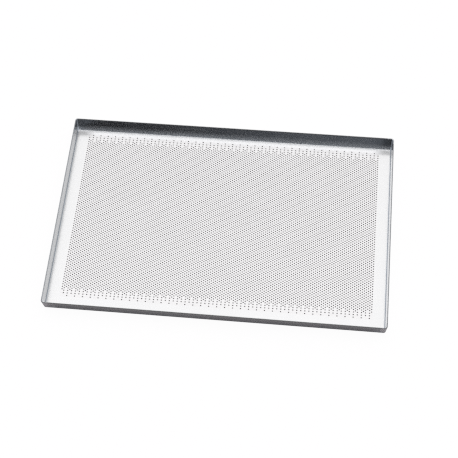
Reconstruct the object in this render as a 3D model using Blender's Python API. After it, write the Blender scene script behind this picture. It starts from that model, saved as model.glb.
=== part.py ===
"""Baguette tray: one folded aluminium sheet with four low sides and rounded corners.

Metres, +Z up. The origin is on the surface that the tray stands on, under the middle of
its rim. X runs along the long sides, and -Y is the front.

The sheet is divided at its fold lines: a flat floor panel, four turned-up sides that each
take the bend at their foot, and four corner blends. Each is one closed solid.
"""

import math

import bmesh
import bpy

# Overall sizes
RIM_LENGTH = 0.600
RIM_WIDTH = 0.400
HEIGHT = 0.028
SHEET = 0.0015

# Folds
LEAN_LONG_SIDES = math.radians(12.0)
LEAN_END_SIDES = math.radians(4.0)
BEND_INNER_RADIUS = 0.002

# Plan radius of the closed corners, and how far each corner piece runs along its sides
RIM_CORNER_RADIUS = 0.005
FOOT_CORNER_RADIUS = 0.002
CORNER_LEG = 0.012

# Gap that keeps neighbouring pieces of the sheet apart
GAP = 0.0003

# How finely the curves are divided
BEND_STEPS = 8
RIM_STEPS = 4
CORNER_STEPS = 10

# Bright rolled aluminium, satin
SHEET_COLOUR = (0.78, 0.78, 0.79, 1.0)
SHEET_ROUGHNESS = 0.32
SHEET_METALLIC = 1.0

HALF_LENGTH = RIM_LENGTH / 2
HALF_WIDTH = RIM_WIDTH / 2

# Plan signs of each corner, X then Y
CORNERS = {
    "front_left_corner": (-1, -1),
    "front_right_corner": (1, -1),
    "back_left_corner": (-1, 1),
    "back_right_corner": (1, 1),
}


def clear_scene():
    for old in list(bpy.data.objects):
        bpy.data.objects.remove(old, do_unlink=True)


def sheet_material():
    material = bpy.data.materials.new("aluminium_sheet")
    material.use_nodes = True
    shader = material.node_tree.nodes["Principled BSDF"]
    shader.inputs["Base Color"].default_value = SHEET_COLOUR
    shader.inputs["Roughness"].default_value = SHEET_ROUGHNESS
    shader.inputs["Metallic"].default_value = SHEET_METALLIC
    return material


def bend_centre(lean):
    """Inset and height of the axis that a side is bent round."""
    half_sheet = SHEET / 2
    middle_radius = BEND_INNER_RADIUS + half_sheet
    outer_radius = BEND_INNER_RADIUS + SHEET
    rise = HEIGHT - half_sheet - outer_radius + middle_radius * math.sin(lean)
    flat = rise / math.cos(lean)
    inset = half_sheet + flat * math.sin(lean) + middle_radius * math.cos(lean)
    return inset, outer_radius


def arc(centre, radius, start, end, steps):
    """Points on an arc in the plane of inset and height, both ends included."""
    points = []
    for i in range(steps + 1):
        angle = start + (end - start) * i / steps
        inset = centre[0] + radius * math.cos(angle)
        height = centre[1] + radius * math.sin(angle)
        points.append((inset, height))
    return points


def side_section(lean):
    """Closed outline of a side: bend, leaning flat and rounded rim.

    Insets are measured inwards from the rim's outer edge, heights from the ground.
    """
    centre = bend_centre(lean)
    outer_radius = BEND_INNER_RADIUS + SHEET
    down = -math.pi / 2
    outward = -math.pi + lean
    rim_centre = (SHEET / 2, HEIGHT - SHEET / 2)
    outline = arc(centre, outer_radius, down, outward, BEND_STEPS)
    outline += arc(rim_centre, SHEET / 2, outward, outward - math.pi, RIM_STEPS)
    outline += arc(centre, BEND_INNER_RADIUS, outward, down, BEND_STEPS)
    return outline


LONG_SECTION = side_section(LEAN_LONG_SIDES)
END_SECTION = side_section(LEAN_END_SIDES)


def corner_point(end_inset, long_inset, radius, angle, signs):
    """Plan position on a rounded corner, at 0 on the end side and at 90 degrees on the long one."""
    x = HALF_LENGTH - end_inset - radius + radius * math.cos(angle)
    y = HALF_WIDTH - long_inset - radius + radius * math.sin(angle)
    return signs[0] * x, signs[1] * y


def corner_loop(angle, signs):
    """The section carried to a plan angle round a corner, tighter towards the foot."""
    deepest = LONG_SECTION[0][0] + END_SECTION[0][0]
    long_share = math.sin(angle) ** 2
    loop = []
    for (end_inset, end_height), (long_inset, long_height) in zip(END_SECTION, LONG_SECTION):
        foot_share = (end_inset + long_inset) / deepest
        radius = RIM_CORNER_RADIUS + (FOOT_CORNER_RADIUS - RIM_CORNER_RADIUS) * foot_share
        height = end_height + (long_height - end_height) * long_share
        x, y = corner_point(end_inset, long_inset, radius, angle, signs)
        loop.append((x, y, height))
    return loop


def long_side_loop(x, sign):
    return [(x, sign * (HALF_WIDTH - inset), height) for inset, height in LONG_SECTION]


def end_side_loop(y, sign):
    return [(sign * (HALF_LENGTH - inset), y, height) for inset, height in END_SECTION]


def new_object(name, mesh_data, material):
    bmesh.ops.recalc_face_normals(mesh_data, faces=mesh_data.faces)
    mesh = bpy.data.meshes.new(name)
    mesh_data.to_mesh(mesh)
    mesh_data.free()
    mesh.materials.append(material)
    mesh.shade_smooth()
    mesh.set_sharp_from_angle(angle=math.radians(30))
    piece = bpy.data.objects.new(name, mesh)
    bpy.context.scene.collection.objects.link(piece)
    return piece


def sweep(name, loops, material):
    """A closed solid through a row of section loops, with both ends filled."""
    data = bmesh.new()
    rows = [[data.verts.new(point) for point in loop] for loop in loops]
    for near, far in zip(rows, rows[1:]):
        for i in range(len(near)):
            j = (i + 1) % len(near)
            data.faces.new((near[i], near[j], far[j], far[i]))
    data.faces.new(rows[0])
    data.faces.new(rows[-1])
    return new_object(name, data, material)


def corner_angles():
    return [math.pi / 2 * i / CORNER_STEPS for i in range(CORNER_STEPS + 1)]


def floor_outline():
    """Plan outline of the flat floor, a gap inside the start of the bends."""
    end_inset = bend_centre(LEAN_END_SIDES)[0] + GAP
    long_inset = bend_centre(LEAN_LONG_SIDES)[0] + GAP
    points = []
    for signs in ((1, 1), (-1, 1), (-1, -1), (1, -1)):
        run = [
            corner_point(end_inset, long_inset, FOOT_CORNER_RADIUS, angle, signs)
            for angle in corner_angles()
        ]
        if signs[0] != signs[1]:
            run.reverse()
        points += run
    return points


def make_floor(material):
    data = bmesh.new()
    corners = [data.verts.new((x, y, 0.0)) for x, y in floor_outline()]
    face = data.faces.new(corners)
    raised = bmesh.ops.extrude_face_region(data, geom=[face])
    top = [item for item in raised["geom"] if isinstance(item, bmesh.types.BMVert)]
    bmesh.ops.translate(data, vec=(0.0, 0.0, SHEET), verts=top)
    return new_object("floor_panel", data, material)


def make_sides(material):
    """Straight sides, each stopping a gap short of the corner pieces."""
    x_end = HALF_LENGTH - CORNER_LEG - GAP
    y_end = HALF_WIDTH - CORNER_LEG - GAP
    for name, sign in (("front_side", -1), ("back_side", 1)):
        sweep(name, [long_side_loop(-x_end, sign), long_side_loop(x_end, sign)], material)
    for name, sign in (("left_side", -1), ("right_side", 1)):
        sweep(name, [end_side_loop(-y_end, sign), end_side_loop(y_end, sign)], material)


def make_corners(material):
    """Corner blends, each with a short straight leg along both of its sides."""
    for name, (x_sign, y_sign) in CORNERS.items():
        loops = [end_side_loop(y_sign * (HALF_WIDTH - CORNER_LEG), x_sign)]
        loops += [corner_loop(angle, (x_sign, y_sign)) for angle in corner_angles()]
        loops.append(long_side_loop(x_sign * (HALF_LENGTH - CORNER_LEG), y_sign))
        sweep(name, loops, material)


def main():
    clear_scene()
    material = sheet_material()
    make_floor(material)
    make_sides(material)
    make_corners(material)


main()
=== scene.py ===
"""Perforated baguette tray: the finished look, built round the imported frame.

Metres, +Z up, -Y is the front. The tray is one aluminium sheet. Its pieces here meet
without gaps: a field of punched holes in three strips, the plain border round it, four
turned-up sides and four dressed corners. The studio floor, light and camera come first.
"""

import math

import bmesh
import bpy
from mathutils import Euler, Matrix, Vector


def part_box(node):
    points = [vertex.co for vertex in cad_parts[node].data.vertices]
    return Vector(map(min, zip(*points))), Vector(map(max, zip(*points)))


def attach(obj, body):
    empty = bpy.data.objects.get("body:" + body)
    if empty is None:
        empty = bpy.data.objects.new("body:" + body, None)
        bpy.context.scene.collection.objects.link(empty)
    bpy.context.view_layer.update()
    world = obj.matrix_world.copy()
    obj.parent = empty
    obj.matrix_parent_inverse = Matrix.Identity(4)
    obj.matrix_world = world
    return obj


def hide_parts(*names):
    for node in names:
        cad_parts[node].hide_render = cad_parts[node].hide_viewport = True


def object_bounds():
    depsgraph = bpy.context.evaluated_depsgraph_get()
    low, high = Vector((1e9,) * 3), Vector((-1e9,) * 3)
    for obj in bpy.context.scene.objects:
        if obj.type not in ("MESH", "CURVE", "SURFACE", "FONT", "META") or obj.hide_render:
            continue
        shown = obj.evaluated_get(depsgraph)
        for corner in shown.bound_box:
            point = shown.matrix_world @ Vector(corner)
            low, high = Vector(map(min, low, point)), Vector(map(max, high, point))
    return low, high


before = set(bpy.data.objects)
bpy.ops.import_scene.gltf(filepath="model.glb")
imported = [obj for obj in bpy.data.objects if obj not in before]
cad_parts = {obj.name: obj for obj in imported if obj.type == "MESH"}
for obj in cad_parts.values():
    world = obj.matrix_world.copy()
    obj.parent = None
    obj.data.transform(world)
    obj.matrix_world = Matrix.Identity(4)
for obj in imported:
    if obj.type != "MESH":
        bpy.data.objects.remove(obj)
CAD_LOW, CAD_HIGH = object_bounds()

# Sizes that the frame gives
HALF_LENGTH = CAD_HIGH.x
HALF_WIDTH = CAD_HIGH.y
HEIGHT = CAD_HIGH.z
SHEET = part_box("floor_panel")[1].z

# Folds and corners, as in the frame
LEAN_LONG_SIDES = math.radians(12.0)
LEAN_END_SIDES = math.radians(4.0)
BEND_INNER_RADIUS = 0.002
RIM_CORNER_RADIUS = 0.005
FOOT_CORNER_RADIUS = 0.002
CORNER_LEG = 0.012

# Flat lip that each folded piece keeps inside its bend, so that the shading runs on
LIP = 0.0006

# Points closer than this are one point of the sheet
WELD = 0.00001

# Neighbouring faces that turn less than this are smooth: folds, and the many-sided holes
SMOOTH_FOLDS = math.radians(30.0)
SMOOTH_HOLES = math.radians(50.0)

# How finely the curves are divided
BEND_STEPS = 12
RIM_STEPS = 8
CORNER_STEPS = 14

# Punched holes, in columns from front to back; neighbouring columns are staggered by half a pitch
COLUMNS = 157
COLUMN_SPACING = 0.003495
HOLES_IN_COLUMN = 66
HOLE_PITCH = 0.005104
HOLE_RADIUS = 0.00115
HOLE_SIDES = 10
FIRST_HOLE_FROM_MIDDLE = -0.1681

# Plain half pitches in front of a column's first hole, repeated every four columns, and the
# number of plain half pitches in each column, front and back together
PLAIN_HALVES_IN_FRONT = (5, 2, 7, 0)
PLAIN_HALVES = 7

# The field in three strips of so many columns, so that each stays a light mesh
STRIPS = {"perforated_left": 52, "perforated_middle": 53, "perforated_right": 52}

# Edges of the field, which lies a little to the right of the middle
FIELD_OFF_CENTRE = 0.0005
FIELD_LEFT = FIELD_OFF_CENTRE - COLUMNS * COLUMN_SPACING / 2
FIELD_RIGHT = FIELD_LEFT + COLUMNS * COLUMN_SPACING
FIELD_FRONT = FIRST_HOLE_FROM_MIDDLE - HOLE_PITCH / 2
FIELD_BACK = FIELD_FRONT + HOLES_IN_COLUMN * HOLE_PITCH + PLAIN_HALVES * HOLE_PITCH / 2

# Plan signs of each corner, X then Y
CORNERS = {
    "front_left_corner": (-1, -1),
    "front_right_corner": (1, -1),
    "back_left_corner": (-1, 1),
    "back_right_corner": (1, 1),
}

# Camera: turns, place in its own turned axes, lens, small shift and reach
CAMERA_TURNS = (math.radians(31.93), math.radians(1.994), math.radians(6.014))
CAMERA_OFFSET = (-0.04596, -0.01272, 2.38866)
CAMERA_LENS = 103.43
CAMERA_SHIFT = (0.0675, 0.0088)
CAMERA_REACH = 50.0
PICTURE_SOFTNESS = 1.25

# Floor: just under the tray, matt, with a glow for the eye that ends a little inside its foot
FLOOR_SIZE = 12.0
FLOOR_DROP = 0.0002
FLOOR_COLOUR = (0.46, 0.42, 0.425, 1.0)
FLOOR_ROUGHNESS = 0.9
FLOOR_GLOW = 1.12
FLOOR_GLOW_SHARE = 0.85
FOOT_MARGIN = 0.011

# Soft light: the cosines from its axis between which it fades in, and its strength, which
# grows from the back to the front, between two values of a direction's Y
SOFT_LIGHT_AXIS = (0.0, 0.35, 0.94)
SOFT_LIGHT_EDGE = (0.60, 0.80)
SOFT_LIGHT_FROM_BACK = (0.53, -0.21)
SOFT_LIGHT_STRENGTH = (1.02, 1.40)
WHITE = (1.0, 1.0, 1.0, 1.0)

# Room round the soft light: dim, darker on the left, between two values of a direction's X,
# with a glow far out on both sides
ROOM_FROM_LEFT = (-0.16, 0.06)
ROOM_STRENGTH = (0.0, 0.15)
SIDE_GLOW_FROM = (0.42, 0.62)
SIDE_GLOW = 0.45
ROOM_COLOUR = (0.86, 0.96, 1.1, 1.0)


# ---------------------------------------------------------------- shape of the folds


def arc(centre, radius, start, end, steps):
    """Points on an arc in the plane of inset and height, both ends included."""
    angles = [start + (end - start) * i / steps for i in range(steps + 1)]
    return [
        (centre[0] + radius * math.cos(angle), centre[1] + radius * math.sin(angle))
        for angle in angles
    ]


def bend_centre(lean):
    """Inset and height of the axis that a side is bent round."""
    half_sheet = SHEET / 2
    middle_radius = BEND_INNER_RADIUS + half_sheet
    outer_radius = BEND_INNER_RADIUS + SHEET
    rise = HEIGHT - half_sheet - outer_radius + middle_radius * math.sin(lean)
    flat = rise / math.cos(lean)
    inset = half_sheet + flat * math.sin(lean) + middle_radius * math.cos(lean)
    return inset, outer_radius


def side_section(lean):
    """Closed outline of a side: lip, bend, leaning flat and rounded rim."""
    centre = bend_centre(lean)
    down = -math.pi / 2
    outward = -math.pi + lean
    rim_centre = (SHEET / 2, HEIGHT - SHEET / 2)
    outline = [(centre[0] + LIP, 0.0)]
    outline += arc(centre, BEND_INNER_RADIUS + SHEET, down, outward, BEND_STEPS)
    outline += arc(rim_centre, SHEET / 2, outward, outward - math.pi, RIM_STEPS)
    outline += arc(centre, BEND_INNER_RADIUS, outward, down, BEND_STEPS)
    outline.append((centre[0] + LIP, SHEET))
    return outline


LONG_SECTION = side_section(LEAN_LONG_SIDES)
END_SECTION = side_section(LEAN_END_SIDES)
FOOT_INSET = bend_centre(LEAN_LONG_SIDES)[0] + bend_centre(LEAN_END_SIDES)[0]


def corner_point(end_inset, long_inset, angle, signs):
    """Plan position on a rounded corner, at 0 on the end side and at 90 degrees on the long one."""
    foot_share = (end_inset + long_inset) / FOOT_INSET
    radius = RIM_CORNER_RADIUS + (FOOT_CORNER_RADIUS - RIM_CORNER_RADIUS) * foot_share
    x = HALF_LENGTH - end_inset - radius + radius * math.cos(angle)
    y = HALF_WIDTH - long_inset - radius + radius * math.sin(angle)
    return signs[0] * x, signs[1] * y


def corner_angles():
    """Plan angles round a corner, from the end side to the long one."""
    return [math.pi / 2 * i / CORNER_STEPS for i in range(CORNER_STEPS + 1)]


def corner_loop(angle, signs):
    """The section carried to a plan angle round a corner."""
    long_share = math.sin(angle) ** 2
    loop = []
    for (end_inset, end_height), (long_inset, long_height) in zip(END_SECTION, LONG_SECTION):
        height = end_height + (long_height - end_height) * long_share
        x, y = corner_point(end_inset, long_inset, angle, signs)
        loop.append((x, y, height))
    return loop


def long_side_loop(x, sign):
    """The section of the front or back side at an X."""
    return [(x, sign * (HALF_WIDTH - inset), height) for inset, height in LONG_SECTION]


def end_side_loop(y, sign):
    """The section of the left or right side at a Y."""
    return [(sign * (HALF_LENGTH - inset), y, height) for inset, height in END_SECTION]


# ---------------------------------------------------------------- mesh helpers


def finished_piece(name, mesh, material, smooth_under):
    """A mesh as a piece at the origin, smooth where neighbouring faces turn less than an angle."""
    mesh.name = name
    mesh.materials.clear()
    mesh.materials.append(material)
    mesh.shade_smooth()
    mesh.set_sharp_from_angle(angle=smooth_under)
    piece = bpy.data.objects.new(name, mesh)
    bpy.context.scene.collection.objects.link(piece)
    return piece


def piece_from_bmesh(name, data, material):
    """A folded or flat piece of sheet, with its faces turned outwards."""
    bmesh.ops.recalc_face_normals(data, faces=data.faces)
    mesh = bpy.data.meshes.new(name)
    data.to_mesh(mesh)
    data.free()
    return finished_piece(name, mesh, material, SMOOTH_FOLDS)


def swept_piece(name, loops, material):
    """A closed solid through a row of section loops, with both ends filled."""
    data = bmesh.new()
    rows = [[data.verts.new(point) for point in loop] for loop in loops]
    for near, far in zip(rows, rows[1:]):
        for i in range(len(near)):
            j = (i + 1) % len(near)
            data.faces.new((near[i], near[j], far[j], far[i]))
    data.faces.new(rows[0])
    data.faces.new(rows[-1])
    return piece_from_bmesh(name, data, material)


def closed_edges(data, points):
    """A closed ring of edges through plan points, on the floor's underside."""
    corners = [data.verts.new((x, y, 0.0)) for x, y in points]
    return [data.edges.new((a, b)) for a, b in zip(corners, corners[1:] + corners[:1])]


# ---------------------------------------------------------------- folded pieces


def border_outline():
    """Plan outline of the border, where the lips of the sides and corners begin."""
    end_inset = bend_centre(LEAN_END_SIDES)[0] + LIP
    long_inset = bend_centre(LEAN_LONG_SIDES)[0] + LIP
    points = []
    for signs in ((1, 1), (-1, 1), (-1, -1), (1, -1)):
        run = [corner_point(end_inset, long_inset, angle, signs) for angle in corner_angles()]
        if signs[0] != signs[1]:
            run.reverse()
        points += run
    return points


def make_border(material):
    """The plain border between the punched field and the bends."""
    field = [
        (FIELD_LEFT, FIELD_FRONT),
        (FIELD_RIGHT, FIELD_FRONT),
        (FIELD_RIGHT, FIELD_BACK),
        (FIELD_LEFT, FIELD_BACK),
    ]
    data = bmesh.new()
    edges = closed_edges(data, border_outline()) + closed_edges(data, field)
    bmesh.ops.triangle_fill(data, edges=edges, use_beauty=True, normal=(0.0, 0.0, 1.0))
    raised = bmesh.ops.extrude_face_region(data, geom=list(data.faces))
    top = [item for item in raised["geom"] if isinstance(item, bmesh.types.BMVert)]
    bmesh.ops.translate(data, vec=(0.0, 0.0, SHEET), verts=top)
    return piece_from_bmesh("plain_border", data, material)


def make_sides(materials):
    """The four straight sides, by the frame's node that each stands for."""
    x_end = HALF_LENGTH - CORNER_LEG
    y_end = HALF_WIDTH - CORNER_LEG
    sides = {}
    for node, sign in (("front_side", -1), ("back_side", 1)):
        loops = [long_side_loop(-x_end, sign), long_side_loop(x_end, sign)]
        sides[node] = swept_piece(node + "_sheet", loops, materials[node])
    for node, sign in (("left_side", -1), ("right_side", 1)):
        loops = [end_side_loop(-y_end, sign), end_side_loop(y_end, sign)]
        sides[node] = swept_piece(node + "_sheet", loops, materials[node])
    return sides


def make_corners(materials):
    """The four corner blends, by the frame's node that each stands for."""
    corners = {}
    for node, (x_sign, y_sign) in CORNERS.items():
        loops = [end_side_loop(y_sign * (HALF_WIDTH - CORNER_LEG), x_sign)]
        loops += [corner_loop(angle, (x_sign, y_sign)) for angle in corner_angles()]
        loops.append(long_side_loop(x_sign * (HALF_LENGTH - CORNER_LEG), y_sign))
        corners[node] = swept_piece(node + "_sheet", loops, materials[node])
    return corners


# ---------------------------------------------------------------- punched field


def add_node(tree, kind, inputs, **settings):
    """A node with its settings and inputs, each a value or another node's output."""
    node = tree.nodes.new(kind)
    for name, value in settings.items():
        setattr(node, name, value)
    for key, value in inputs.items():
        if isinstance(value, bpy.types.NodeSocket):
            tree.links.new(value, node.inputs[key])
        else:
            node.inputs[key].default_value = value
    return node


def whole_number(tree, operation, first, second):
    """A whole number worked out from two others."""
    return add_node(
        tree, "FunctionNodeIntegerMath", {0: first, 1: second}, operation=operation
    ).outputs[0]


def number(tree, operation, first, second):
    """A number worked out from two others."""
    return add_node(tree, "ShaderNodeMath", {0: first, 1: second}, operation=operation).outputs[0]


def place(tree, x, y):
    """A point on the floor's underside."""
    return add_node(tree, "ShaderNodeCombineXYZ", {"X": x, "Y": y}).outputs[0]


FIELD_INPUTS = {
    "Columns": "NodeSocketInt",
    "First Column": "NodeSocketInt",
    "Column Spacing": "NodeSocketFloat",
    "Holes In Column": "NodeSocketInt",
    "Hole Pitch": "NodeSocketFloat",
    "Hole Radius": "NodeSocketFloat",
    "Hole Sides": "NodeSocketInt",
    "Sheet Thickness": "NodeSocketFloat",
    "Left Edge": "NodeSocketFloat",
    "Front Edge": "NodeSocketFloat",
    "Finish": "NodeSocketMaterial",
}


def plain_cell(tree, given, length):
    """One flat rectangle of sheet, as wide as a column."""
    return add_node(
        tree,
        "GeometryNodeMeshGrid",
        {"Size X": given["Column Spacing"], "Size Y": length, "Vertices X": 2, "Vertices Y": 2},
    ).outputs[0]


def punched_cell(tree, given):
    """One cell of sheet, a pitch long, with a round hole in its middle, flat."""
    pitch = given["Hole Pitch"]
    sheet = add_node(
        tree,
        "GeometryNodeMeshGrid",
        {"Size X": given["Column Spacing"], "Size Y": pitch, "Vertices X": 2, "Vertices Y": 3},
    )
    neighbours = add_node(tree, "GeometryNodeInputMeshEdgeNeighbors", {})
    on_edge = add_node(
        tree,
        "FunctionNodeCompare",
        {2: neighbours.outputs[0], 3: 1},
        data_type="INT",
        operation="EQUAL",
    )
    outline = add_node(
        tree,
        "GeometryNodeMeshToCurve",
        {"Mesh": sheet.outputs[0], "Selection": on_edge.outputs[0]},
    )
    hole = add_node(
        tree,
        "GeometryNodeCurvePrimitiveCircle",
        {"Resolution": given["Hole Sides"], "Radius": given["Hole Radius"]},
    )
    both = add_node(tree, "GeometryNodeJoinGeometry", {})
    tree.links.new(outline.outputs[0], both.inputs[0])
    tree.links.new(hole.outputs[0], both.inputs[0])
    return add_node(tree, "GeometryNodeFillCurve", {"Curve": both.outputs[0]}).outputs[0]


def plain_halves_before(tree, given, column):
    """How many plain half pitches a column has in front of its first hole."""
    counted = whole_number(tree, "ADD", column, given["First Column"])
    cycle = len(PLAIN_HALVES_IN_FRONT)
    step = whole_number(tree, "MODULO", counted, cycle)
    choice = tree.nodes.new("GeometryNodeIndexSwitch")
    choice.data_type = "INT"
    while len(choice.index_switch_items) < cycle:
        choice.index_switch_items.new()
    tree.links.new(step, choice.inputs["Index"])
    for i, halves in enumerate(PLAIN_HALVES_IN_FRONT):
        choice.inputs[str(i)].default_value = halves
    return choice.outputs[0]


def column_and_row(tree, per_column):
    """The column and the row of every cell, where each column has so many of them."""
    index = add_node(tree, "GeometryNodeInputIndex", {}).outputs[0]
    column = whole_number(tree, "DIVIDE_FLOOR", index, per_column)
    row = whole_number(tree, "MODULO", index, per_column)
    return column, row


def cells_on_columns(tree, given, cell, per_column, column, halves):
    """Copies of a cell along every column, their middles counted in half pitches."""
    count = whole_number(tree, "MULTIPLY", given["Columns"], per_column)
    half_pitch = number(tree, "MULTIPLY", given["Hole Pitch"], 0.5)
    middle = number(tree, "ADD", column, 0.5)
    across = number(tree, "MULTIPLY", middle, given["Column Spacing"])
    along = number(tree, "MULTIPLY", halves, half_pitch)
    x = number(tree, "ADD", across, given["Left Edge"])
    y = number(tree, "ADD", along, given["Front Edge"])
    points = add_node(
        tree, "GeometryNodePoints", {"Count": count, "Position": place(tree, x, y)}
    ).outputs[0]
    copies = add_node(
        tree, "GeometryNodeInstanceOnPoints", {"Points": points, "Instance": cell}
    ).outputs[0]
    return add_node(tree, "GeometryNodeRealizeInstances", {"Geometry": copies}).outputs[0]


def punched_part(tree, given):
    """Punched cells, each two half pitches long, behind the plain front of their column."""
    per_column = given["Holes In Column"]
    column, row = column_and_row(tree, per_column)
    done = whole_number(tree, "MULTIPLY", row, 2)
    start = whole_number(tree, "ADD", done, plain_halves_before(tree, given, column))
    middles = number(tree, "ADD", start, 1.0)
    cell = punched_cell(tree, given)
    return cells_on_columns(tree, given, cell, per_column, column, middles)


def plain_part(tree, given):
    """Plain cells of half a pitch: in front of a column's holes, or else past the last of them."""
    column, row = column_and_row(tree, PLAIN_HALVES)
    behind = add_node(
        tree,
        "FunctionNodeCompare",
        {2: row, 3: plain_halves_before(tree, given, column)},
        data_type="INT",
        operation="GREATER_EQUAL",
    ).outputs[0]
    punched_halves = whole_number(tree, "MULTIPLY", given["Holes In Column"], 2)
    skipped = number(tree, "MULTIPLY", behind, punched_halves)
    start = number(tree, "ADD", row, skipped)
    middles = number(tree, "ADD", start, 0.5)
    cell = plain_cell(tree, given, number(tree, "MULTIPLY", given["Hole Pitch"], 0.5))
    return cells_on_columns(tree, given, cell, PLAIN_HALVES, column, middles)


def thickened(tree, given, flat):
    """The flat cells welded together and given the sheet's thickness, closed all round."""
    welded = add_node(
        tree, "GeometryNodeMergeByDistance", {"Geometry": flat, "Distance": WELD}
    ).outputs[0]
    upper = add_node(
        tree,
        "GeometryNodeExtrudeMesh",
        {"Mesh": welded, "Offset Scale": given["Sheet Thickness"], "Individual": False},
    ).outputs[0]
    under = add_node(tree, "GeometryNodeFlipFaces", {"Mesh": welded}).outputs[0]
    both = add_node(tree, "GeometryNodeJoinGeometry", {})
    tree.links.new(upper, both.inputs[0])
    tree.links.new(under, both.inputs[0])
    return add_node(
        tree, "GeometryNodeMergeByDistance", {"Geometry": both.outputs[0], "Distance": WELD}
    ).outputs[0]


def perforation_tree():
    """Rows of round holes in staggered columns, in a rectangle of sheet."""
    tree = bpy.data.node_groups.new("perforated_sheet", "GeometryNodeTree")
    tree.interface.new_socket("Geometry", in_out="OUTPUT", socket_type="NodeSocketGeometry")
    for name, kind in FIELD_INPUTS.items():
        tree.interface.new_socket(name, in_out="INPUT", socket_type=kind)
    given = tree.nodes.new("NodeGroupInput").outputs
    flat = add_node(tree, "GeometryNodeJoinGeometry", {})
    tree.links.new(punched_part(tree, given), flat.inputs[0])
    tree.links.new(plain_part(tree, given), flat.inputs[0])
    solid = thickened(tree, given, flat.outputs[0])
    real = add_node(tree, "GeometryNodeRealizeInstances", {"Geometry": solid}).outputs[0]
    finished = add_node(
        tree, "GeometryNodeSetMaterial", {"Geometry": real, "Material": given["Finish"]}
    ).outputs[0]
    out = tree.nodes.new("NodeGroupOutput")
    tree.links.new(finished, out.inputs[0])
    return tree


def baked_mesh(tree, values):
    """The plain mesh that a tree makes with these inputs."""
    holder = bpy.data.objects.new("holder", bpy.data.meshes.new("holder"))
    bpy.context.scene.collection.objects.link(holder)
    modifier = holder.modifiers.new("perforation", "NODES")
    modifier.node_group = tree
    for item in tree.interface.items_tree:
        if item.in_out == "INPUT":
            modifier[item.identifier] = values[item.name]
    evaluated = holder.evaluated_get(bpy.context.evaluated_depsgraph_get())
    mesh = bpy.data.meshes.new_from_object(evaluated)
    holder.modifiers.remove(modifier)
    bpy.data.objects.remove(holder, do_unlink=True)
    return mesh


def make_field(material):
    """The punched field, strip by strip from the left."""
    tree = perforation_tree()
    strips = []
    first = 0
    for name, columns in STRIPS.items():
        values = {
            "Columns": columns,
            "First Column": first,
            "Column Spacing": COLUMN_SPACING,
            "Holes In Column": HOLES_IN_COLUMN,
            "Hole Pitch": HOLE_PITCH,
            "Hole Radius": HOLE_RADIUS,
            "Hole Sides": HOLE_SIDES,
            "Sheet Thickness": SHEET,
            "Left Edge": FIELD_LEFT + first * COLUMN_SPACING,
            "Front Edge": FIELD_FRONT,
            "Finish": material,
        }
        strips.append(finished_piece(name, baked_mesh(tree, values), material, SMOOTH_HOLES))
        first += columns
    return strips


# ---------------------------------------------------------------- finishes

# Stretch of the grain for each axis: along the sheet, up the end sides, and round the corners
GRAIN_ALONG = (10.0, 900.0, 900.0)
GRAIN_UP = (900.0, 900.0, 10.0)
GRAIN_ROUND = (60.0, 60.0, 900.0)

# Handling marks: cloudy patches, slow waves of the sheet, and fine scratches at a slant
PATCH_SCALE = 14.0
WAVE_SCALE = 5.0
SCRATCH_STRETCH = (3.0, 260.0, 260.0)
SCRATCH_SLANT = 0.3
SCRATCH_EDGE = (0.70, 0.74)

# Stretch of the noise's values that is used, because they seldom leave it
NOISE_LOW = 0.3
NOISE_HIGH = 0.7

# How far each of them moves the roughness
GRAIN_ROUGHNESS = 0.04
PATCH_ROUGHNESS = 0.02
SCRATCH_ROUGHNESS = -0.04
RIM_ROUGHNESS = 0.12

# Strength and depth of the relief
WAVE_RELIEF = (0.25, 0.001)
GRAIN_RELIEF = (0.07, 0.00005)
SCRATCH_RELIEF = (0.1, 0.00003)

# Heights between which the rim's cut edge, the scuffed foot and the painted dark reflection on the
# upper part begin
RIM_EDGE = (HEIGHT - 1.6 * SHEET, HEIGHT - 0.9 * SHEET)
SCUFFED_FOOT = (0.015, 0.003)
PAINTED_REFLECTION_HEIGHTS = (0.006, 0.011)

# Distances from the middle, along the long sides, between which scuffed ends and the painted dark
# reflection near the ends begin
SCUFFED_ENDS = (HALF_LENGTH - 0.028, HALF_LENGTH - 0.018)
PAINTED_REFLECTION_ENDS = (HALF_LENGTH - 0.035, HALF_LENGTH - 0.015)

# The back right corner's painted dark reflection stops short of the end side, and fades out over a
# small distance
PAINTED_REFLECTION_STOP = HALF_LENGTH - 0.0032
PAINTED_REFLECTION_FADE = 0.001

# A hole's wall is this share of the sheet's thickness, about its middle
WALL_SHARE = 0.96

# Shares of the patches and of the grain in the clouds of the colour
PATCHES_IN_CLOUDS = 0.6
GRAIN_IN_CLOUDS = 0.4

# Colours of the metal, and what is left of them where it is worn. The colours of the sides and the
# back corners are copies of the metal's, darkened with painted shade.
BRIGHT = (0.905, 0.905, 0.91)
PUNCHED = (0.892, 0.884, 0.89)
# Painted shade on the walls of the holes
PAINTED_HOLE_SHADE = (0.3, 0.27, 0.28)
# One copy for each side, darkened with painted shade, the front and the left side most; the back
# corners share the right side's
PAINTED_SHADE_BACK = (0.84, 0.845, 0.855)
PAINTED_SHADE_FRONT = (0.72, 0.735, 0.725)
PAINTED_SHADE_SLIGHT = (0.85, 0.855, 0.865)
PAINTED_SHADE_LEFT = (0.62, 0.625, 0.63)
WORN = 0.96


def mapped(tree, scale, turn=0.0):
    """The piece's own coordinates, stretched to a scale for each axis and turned about Z."""
    place_on_piece = tree.nodes.new("ShaderNodeTexCoord")
    mapping = tree.nodes.new("ShaderNodeMapping")
    mapping.inputs["Scale"].default_value = scale
    mapping.inputs["Rotation"].default_value = (0.0, 0.0, turn)
    tree.links.new(place_on_piece.outputs["Object"], mapping.inputs["Vector"])
    return mapping.outputs[0]


def noise(tree, vector, scale, detail=3.0, roughness=0.55):
    inputs = {"Vector": vector, "Scale": scale, "Detail": detail, "Roughness": roughness}
    return add_node(tree, "ShaderNodeTexNoise", inputs).outputs[0]


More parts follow.
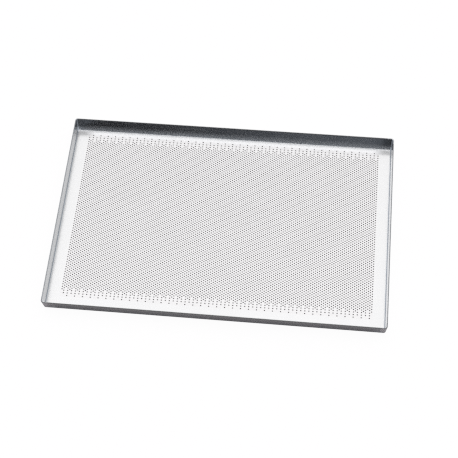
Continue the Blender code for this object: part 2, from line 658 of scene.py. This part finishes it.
def ranged(tree, value, low, high, to_low, to_high, **settings):
    """A value carried from one range to another, held at the ends."""
    inputs = {"Value": value, 1: low, 2: high, 3: to_low, 4: to_high}
    return add_node(tree, "ShaderNodeMapRange", inputs, **settings).outputs[0]


def size_of(tree, value):
    """A value without its sign."""
    return add_node(tree, "ShaderNodeMath", {0: value}, operation="ABSOLUTE").outputs[0]


def mixed_shader(tree, share, first, second):
    """Two shaders mixed by the second one's share."""
    inputs = {0: share, 1: first.outputs[0], 2: second.outputs[0]}
    return add_node(tree, "ShaderNodeMixShader", inputs)


def colour_between(tree, share, first, second):
    """A mix of two colours, each a triple or another node's output, by the second one's share."""
    mix = tree.nodes.new("ShaderNodeMix")
    mix.data_type = "RGBA"
    tree.links.new(share, mix.inputs["Factor"])
    for socket, colour in ((mix.inputs[6], first), (mix.inputs[7], second)):
        if isinstance(colour, bpy.types.NodeSocket):
            tree.links.new(colour, socket)
        else:
            socket.default_value = (*colour, 1.0)
    return mix.outputs[2]


def darker(colour, share):
    return [part * share for part in colour]


def bump(tree, height, relief, normal=None):
    """A height as relief of some strength and depth, on top of another normal."""
    strength, depth = relief
    inputs = {"Height": height, "Strength": strength, "Distance": depth}
    if normal is not None:
        inputs["Normal"] = normal
    return add_node(tree, "ShaderNodeBump", inputs).outputs[0]


def worn_marks(tree, grain):
    """The grain, the cloudy patches, the slow waves and the fine scratches, each as a value."""
    evenly = (1.0, 1.0, 1.0)
    scratched = noise(tree, mapped(tree, SCRATCH_STRETCH, turn=SCRATCH_SLANT), 1.0, detail=2.0)
    return {
        "grain": noise(tree, mapped(tree, grain), 1.0, detail=5.0, roughness=0.6),
        "patches": noise(tree, mapped(tree, evenly), PATCH_SCALE),
        "waves": noise(tree, mapped(tree, evenly), WAVE_SCALE, detail=1.0),
        "scratches": ranged(tree, scratched, *SCRATCH_EDGE, 0.0, 1.0),
    }


def metal_roughness(tree, marks, roughness, rim, scuffs):
    """The finish's roughness, moved by its marks, its cut rim and where it is scuffed."""
    rough = ranged(
        tree,
        marks["grain"],
        NOISE_LOW,
        NOISE_HIGH,
        roughness - GRAIN_ROUGHNESS,
        roughness + GRAIN_ROUGHNESS,
    )
    cloudy = ranged(
        tree, marks["patches"], NOISE_LOW, NOISE_HIGH, -PATCH_ROUGHNESS, PATCH_ROUGHNESS
    )
    cut = number(tree, "MULTIPLY", rim, RIM_ROUGHNESS)
    scratched = number(tree, "MULTIPLY", marks["scratches"], SCRATCH_ROUGHNESS)
    for change in (cloudy, cut, scratched, *scuffs):
        rough = number(tree, "ADD", rough, change)
    return rough


def cloudy_colour(tree, marks, colour):
    """The metal's colour, a little darker in cloudy patches and along the grain."""
    patches = number(tree, "MULTIPLY", marks["patches"], PATCHES_IN_CLOUDS)
    grain = number(tree, "MULTIPLY", marks["grain"], GRAIN_IN_CLOUDS)
    clouds = ranged(tree, number(tree, "ADD", patches, grain), NOISE_LOW, NOISE_HIGH, 0.0, 1.0)
    return colour_between(tree, clouds, darker(colour, WORN), colour)


def upper_end(tree, height, across, painted_reflection_to):
    """Where the dark reflection is painted: 1 on the upper part of a side near its ends, as far out
    as the given limit, else 0.
    """
    upper = ranged(tree, height, *PAINTED_REFLECTION_HEIGHTS, 0.0, 1.0)
    inside = ranged(tree, across, painted_reflection_to, painted_reflection_to + PAINTED_REFLECTION_FADE, 1.0, 0.0)
    near_end = ranged(tree, across, *PAINTED_REFLECTION_ENDS, 0.0, 1.0)
    return number(tree, "MULTIPLY", number(tree, "MULTIPLY", upper, inside), near_end)


def hole_wall(tree, height):
    """1 between the sheet's two faces, which is on the wall of a hole, else 0."""
    off_middle = size_of(tree, number(tree, "SUBTRACT", height, SHEET / 2))
    return number(tree, "LESS_THAN", off_middle, WALL_SHARE * SHEET / 2)


def aluminium(
    name,
    grain,
    roughness,
    colour,
    scuffed_foot=0.0,
    scuffed_ends=0.0,
    rim_shade=0.5,
    painted_reflection_tone=1.0,
    painted_reflection_to=HALF_LENGTH,
    punched=False,
):
    """Bare rolled aluminium: grain, cloudy patches, slow waves and fine scratches.

    A side can be scuffed rougher towards its foot and its ends. The shades are what is left of the
    colour on the rim's cut edge, and on the upper part of a side near its ends, where a dark
    reflection is painted into the colour.
    Punched sheet has painted shade on the walls of its holes.
    """
    material = bpy.data.materials.new(name)
    material.use_nodes = True
    tree = material.node_tree
    shader = tree.nodes["Principled BSDF"]
    shader.inputs["Metallic"].default_value = 1.0

    marks = worn_marks(tree, grain)
    coordinates = tree.nodes.new("ShaderNodeTexCoord").outputs["Object"]
    parts = add_node(tree, "ShaderNodeSeparateXYZ", {"Vector": coordinates})
    height = parts.outputs["Z"]
    across = size_of(tree, parts.outputs["X"])
    rim = ranged(tree, height, *RIM_EDGE, 0.0, 1.0)

    scuffs = (
        ranged(tree, height, *SCUFFED_FOOT, 0.0, scuffed_foot),
        ranged(tree, across, *SCUFFED_ENDS, 0.0, scuffed_ends),
    )
    rough = metal_roughness(tree, marks, roughness, rim, scuffs)
    tree.links.new(rough, shader.inputs["Roughness"])

    finished = cloudy_colour(tree, marks, colour)
    # Painted dark reflection: the upper part of a side near its ends is darkened
    painted_reflection_share = upper_end(tree, height, across, painted_reflection_to)
    finished = colour_between(tree, painted_reflection_share, finished, darker(colour, painted_reflection_tone))
    finished = colour_between(tree, rim, finished, darker(colour, rim_shade))
    # Painted shade on the walls of the holes
    if punched:
        finished = colour_between(tree, hole_wall(tree, height), finished, PAINTED_HOLE_SHADE)
    tree.links.new(finished, shader.inputs["Base Color"])

    normal = bump(tree, marks["waves"], WAVE_RELIEF)
    normal = bump(tree, marks["grain"], GRAIN_RELIEF, normal)
    normal = bump(tree, marks["scratches"], SCRATCH_RELIEF, normal)
    tree.links.new(normal, shader.inputs["Normal"])
    return material


def side_finishes():
    """The finish of each side, by node, its colour darkened with painted shade."""
    return {
        "front_side": aluminium(
            "rolled_aluminium_front",
            GRAIN_ALONG,
            roughness=0.17,
            colour=PAINTED_SHADE_FRONT,
            scuffed_foot=0.32,
            scuffed_ends=0.25,
        ),
        # The back side: a painted dark reflection darkens the upper part near its ends
        "back_side": aluminium(
            "rolled_aluminium_back",
            GRAIN_ALONG,
            roughness=0.17,
            colour=PAINTED_SHADE_BACK,
            scuffed_foot=0.32,
            painted_reflection_tone=0.4,
        ),
        "left_side": aluminium(
            "rolled_aluminium_left",
            GRAIN_UP,
            roughness=0.30,
            colour=PAINTED_SHADE_LEFT,
            scuffed_foot=0.04,
            rim_shade=0.8,
        ),
        "right_side": aluminium(
            "rolled_aluminium_right",
            GRAIN_UP,
            roughness=0.28,
            colour=PAINTED_SHADE_SLIGHT,
            scuffed_foot=0.04,
        ),
    }


def corner_finishes():
    """The finish of each corner, by node; the back corners' colour is darkened with painted shade.
    """
    front = aluminium(
        "dressed_aluminium_front",
        GRAIN_ROUND,
        roughness=0.5,
        colour=BRIGHT,
        scuffed_foot=0.04,
    )
    # The back corners: a painted dark reflection darkens their upper part
    back_left = aluminium(
        "dressed_aluminium_back_left",
        GRAIN_ROUND,
        roughness=0.24,
        colour=PAINTED_SHADE_SLIGHT,
        scuffed_foot=0.2,
        painted_reflection_tone=0.4,
    )
    back_right = aluminium(
        "dressed_aluminium_back_right",
        GRAIN_ROUND,
        roughness=0.2,
        colour=PAINTED_SHADE_SLIGHT,
        scuffed_foot=0.2,
        rim_shade=0.8,
        painted_reflection_tone=0.4,
        painted_reflection_to=PAINTED_REFLECTION_STOP,
    )
    return {
        "front_left_corner": front,
        "front_right_corner": front,
        "back_left_corner": back_left,
        "back_right_corner": back_right,
    }


# ---------------------------------------------------------------- floor, light, camera


def make_floor():
    """A plain pale floor: bright to the eye, darker where the tray mirrors it or stands on it."""
    data = bmesh.new()
    bmesh.ops.create_grid(data, x_segments=1, y_segments=1, size=FLOOR_SIZE / 2)
    mesh = bpy.data.meshes.new("studio_floor")
    data.to_mesh(mesh)
    data.free()
    floor = bpy.data.objects.new("studio_floor", mesh)
    floor.location.z = -FLOOR_DROP
    bpy.context.scene.collection.objects.link(floor)
    mesh.materials.append(floor_paint())


def outside(tree, coordinate, half):
    """1 where a coordinate lies further out than half a width, else 0."""
    return number(tree, "GREATER_THAN", size_of(tree, coordinate), half)


def floor_paint():
    """Matt pale paint, with a white glow for the eye alone and none under the tray's holes.

    The floor is clear from below, so that the tray's underside can be seen.
    """
    material = bpy.data.materials.new("pale_floor")
    material.use_nodes = True
    tree = material.node_tree
    paint = tree.nodes["Principled BSDF"]
    paint.inputs["Base Color"].default_value = FLOOR_COLOUR
    paint.inputs["Roughness"].default_value = FLOOR_ROUGHNESS
    glow = add_node(tree, "ShaderNodeEmission", {"Strength": FLOOR_GLOW})
    place_on_floor = tree.nodes.new("ShaderNodeTexCoord").outputs["Object"]
    across = add_node(tree, "ShaderNodeSeparateXYZ", {"Vector": place_on_floor})
    beside = outside(tree, across.outputs["X"], HALF_LENGTH - FOOT_MARGIN)
    before = outside(tree, across.outputs["Y"], HALF_WIDTH - FOOT_MARGIN)
    away = number(tree, "MAXIMUM", beside, before)
    seen = tree.nodes.new("ShaderNodeLightPath").outputs["Is Camera Ray"]
    share = number(tree, "MULTIPLY", number(tree, "MULTIPLY", away, seen), FLOOR_GLOW_SHARE)
    from_above = mixed_shader(tree, share, paint, glow)
    under = tree.nodes.new("ShaderNodeNewGeometry").outputs["Backfacing"]
    clear = tree.nodes.new("ShaderNodeBsdfTransparent")
    shown = mixed_shader(tree, under, from_above, clear)
    tree.links.new(shown.outputs[0], tree.nodes["Material Output"].inputs["Surface"])
    return material


def make_world():
    """A wide round soft light above and a little behind the tray, in a dim, cool room."""
    world = bpy.data.worlds.new("studio")
    bpy.context.scene.world = world
    world.use_nodes = True
    tree = world.node_tree
    direction = tree.nodes.new("ShaderNodeTexCoord").outputs["Generated"]
    parts = add_node(tree, "ShaderNodeSeparateXYZ", {"Vector": direction})
    facing = add_node(
        tree, "ShaderNodeVectorMath", {0: direction, 1: SOFT_LIGHT_AXIS}, operation="DOT_PRODUCT"
    ).outputs["Value"]
    inside = ranged(tree, facing, *SOFT_LIGHT_EDGE, 0.0, 1.0, interpolation_type="SMOOTHSTEP")
    soft = ranged(tree, parts.outputs["Y"], *SOFT_LIGHT_FROM_BACK, *SOFT_LIGHT_STRENGTH)
    dim = ranged(tree, parts.outputs["X"], *ROOM_FROM_LEFT, *ROOM_STRENGTH)
    sideways = size_of(tree, parts.outputs["X"])
    side_glow = ranged(tree, sideways, *SIDE_GLOW_FROM, 0.0, SIDE_GLOW)
    dim = number(tree, "ADD", dim, side_glow)
    soft_light = add_node(tree, "ShaderNodeBackground", {"Color": WHITE, "Strength": soft})
    room = add_node(tree, "ShaderNodeBackground", {"Color": ROOM_COLOUR, "Strength": dim})
    lighting = mixed_shader(tree, inside, room, soft_light)
    backdrop = add_node(tree, "ShaderNodeBackground", {"Color": WHITE})
    seen = tree.nodes.new("ShaderNodeLightPath").outputs["Is Camera Ray"]
    shown = mixed_shader(tree, seen, lighting, backdrop)
    tree.links.new(shown.outputs[0], tree.nodes["World Output"].inputs["Surface"])


def make_camera():
    turn = Euler(CAMERA_TURNS).to_matrix()
    data = bpy.data.cameras.new("camera")
    data.lens = CAMERA_LENS
    data.shift_x, data.shift_y = CAMERA_SHIFT
    data.clip_end = CAMERA_REACH
    camera = bpy.data.objects.new("camera", data)
    camera.location = turn @ Vector(CAMERA_OFFSET)
    camera.rotation_euler = CAMERA_TURNS
    bpy.context.scene.collection.objects.link(camera)
    bpy.context.scene.camera = camera


def set_picture():
    """Plain colours, and the small holes kept crisp."""
    scene = bpy.context.scene
    scene.view_settings.view_transform = "Standard"
    scene.cycles.use_denoising = False
    scene.cycles.filter_width = PICTURE_SOFTNESS


# ---------------------------------------------------------------- build


def dress(piece, slot, *nodes):
    """Ties a finished piece to the frame's root, which it moves with, and hides the frame's parts
    that it stands for. The slot is not used.
    """
    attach(piece, "root")
    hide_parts(*nodes)


def main():
    make_camera()
    make_world()
    make_floor()
    set_picture()

    flat_finish = aluminium("rolled_aluminium", GRAIN_ALONG, roughness=0.20, colour=BRIGHT)
    punched_finish = aluminium(
        "punched_aluminium", GRAIN_ALONG, roughness=0.20, colour=PUNCHED, punched=True
    )
    dress(make_border(flat_finish), "sheet", "floor_panel")
    for strip in make_field(punched_finish):
        dress(strip, "sheet", "floor_panel")
    for node, piece in make_sides(side_finishes()).items():
        dress(piece, "sheet", node)
    for node, piece in make_corners(corner_finishes()).items():
        dress(piece, "corner", node)


main()
